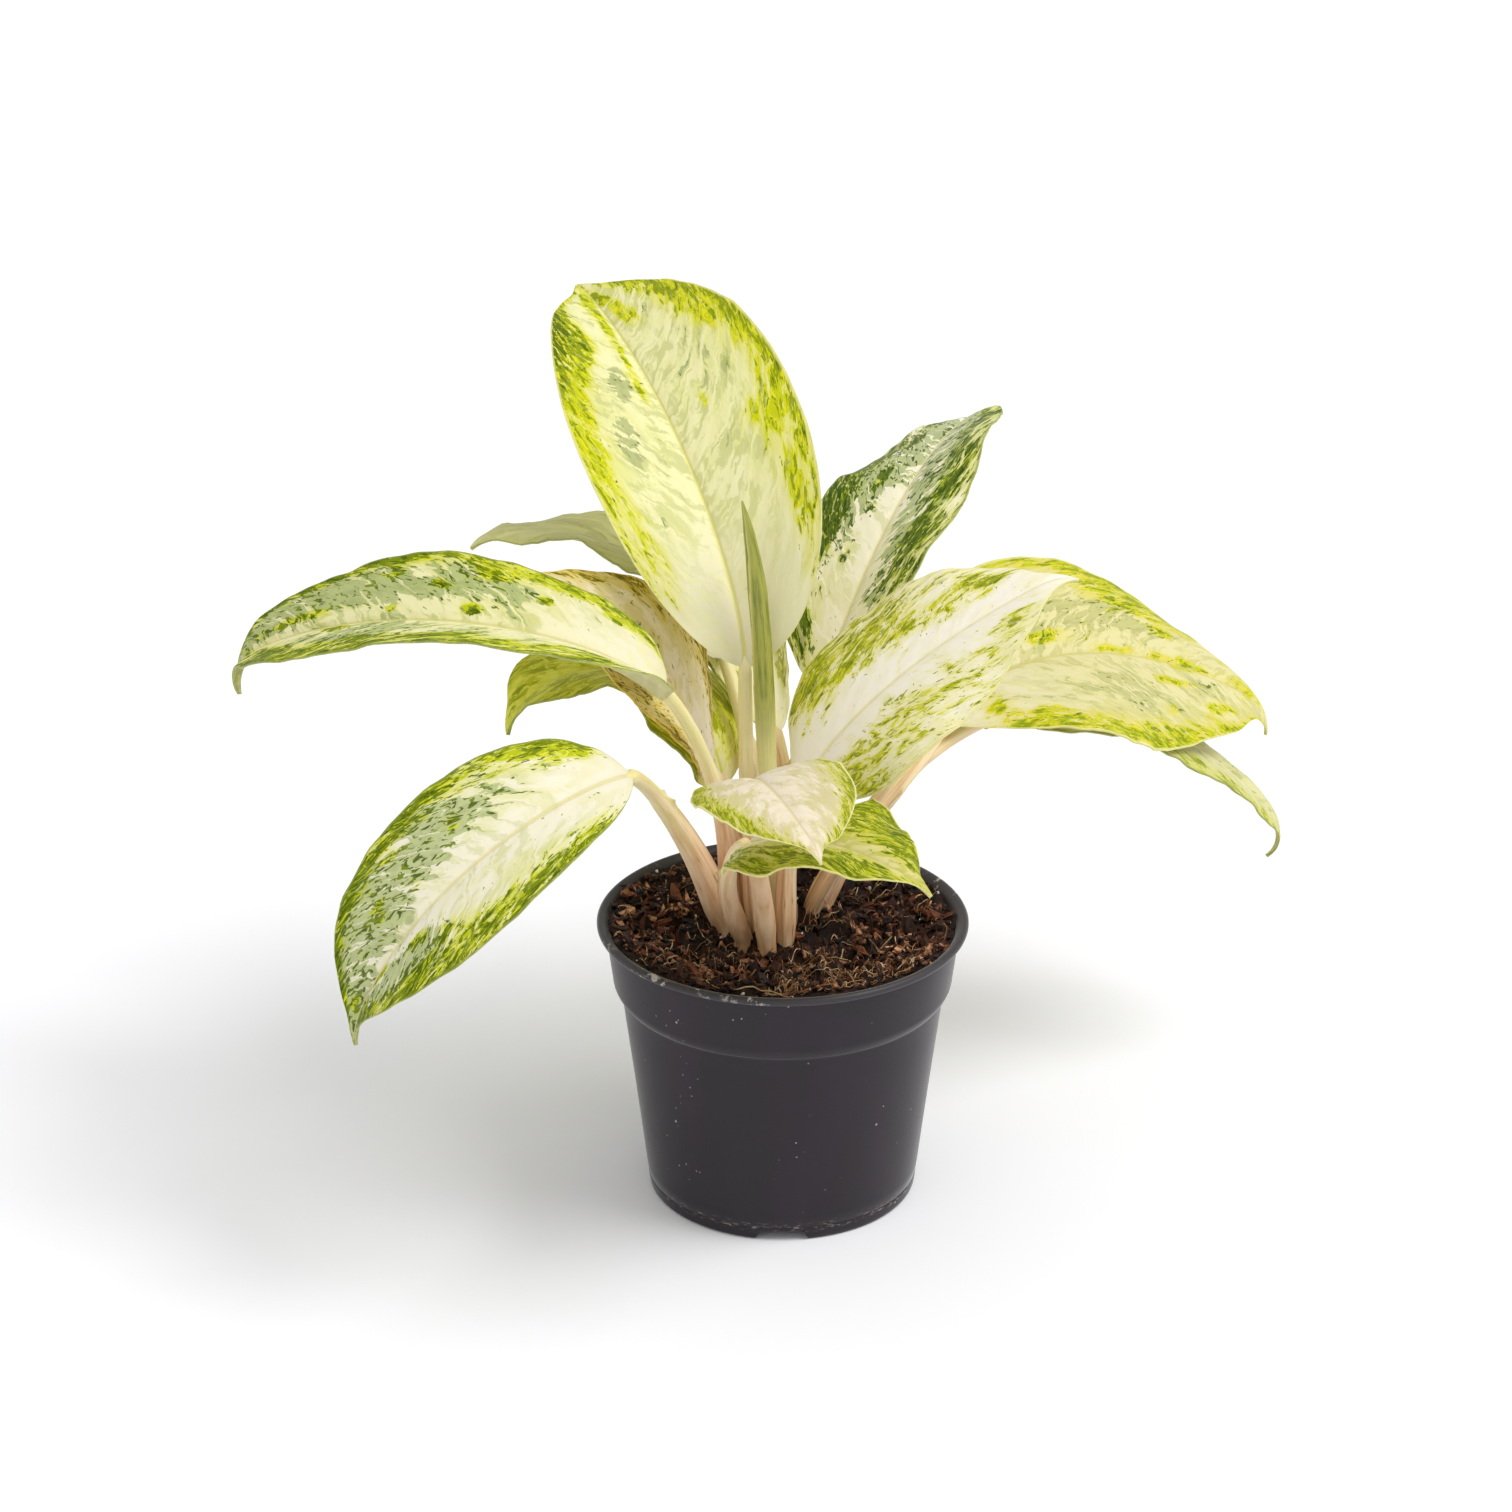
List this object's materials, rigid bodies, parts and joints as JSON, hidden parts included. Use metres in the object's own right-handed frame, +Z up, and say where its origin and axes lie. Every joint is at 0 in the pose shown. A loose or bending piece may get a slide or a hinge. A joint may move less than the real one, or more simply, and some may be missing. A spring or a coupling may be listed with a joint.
{
  "type": "potted chinese evergreen",
  "caption": "Bushy potted house plant with arching marbled leaves on pale stalks, in a round black nursery pot with a rim band.",
  "frame": {"origin": "middle of the pot's base, on the floor that it stands on", "axes": "+Z up along the pot's axis, -Y towards the front of the picture"},
  "size_m": [0.3474, 0.2886, 0.2782],
  "materials": {
    "pot": "matte moulded plastic",
    "soil": "crumbly potting mix",
    "stalk": "satin plant skin",
    "blade": "satin leaf surface, marbled cream, lime and green",
    "new_leaf": "satin rolled leaf"
  },
  "bodies": {
    "root": {"pot": "pot", "soil": "soil", "new_leaf": "new_leaf", "crown_leaf_stalk": "stalk", "crown_leaf_blade": "blade", "back_right_leaf_stalk": "stalk", "back_right_leaf_blade": "blade", "front_right_leaf_stalk": "stalk", "front_right_leaf_blade": "blade", "right_leaf_stalk": "stalk", "right_leaf_blade": "blade", "low_right_leaf_stalk": "stalk", "low_right_leaf_blade": "blade", "left_leaf_stalk": "stalk", "left_leaf_blade": "blade", "back_left_leaf_stalk": "stalk", "back_left_leaf_blade": "blade", "low_left_leaf_stalk": "stalk", "low_left_leaf_blade": "blade", "middle_left_leaf_stalk": "stalk", "middle_left_leaf_blade": "blade", "front_left_leaf_stalk": "stalk", "front_left_leaf_blade": "blade", "small_front_leaf_stalk": "stalk", "small_front_leaf_blade": "blade", "small_right_leaf_stalk": "stalk", "small_right_leaf_blade": "blade", "back_leaf_stalk": "stalk", "back_leaf_blade": "blade"}
  },
  "joints": []
}
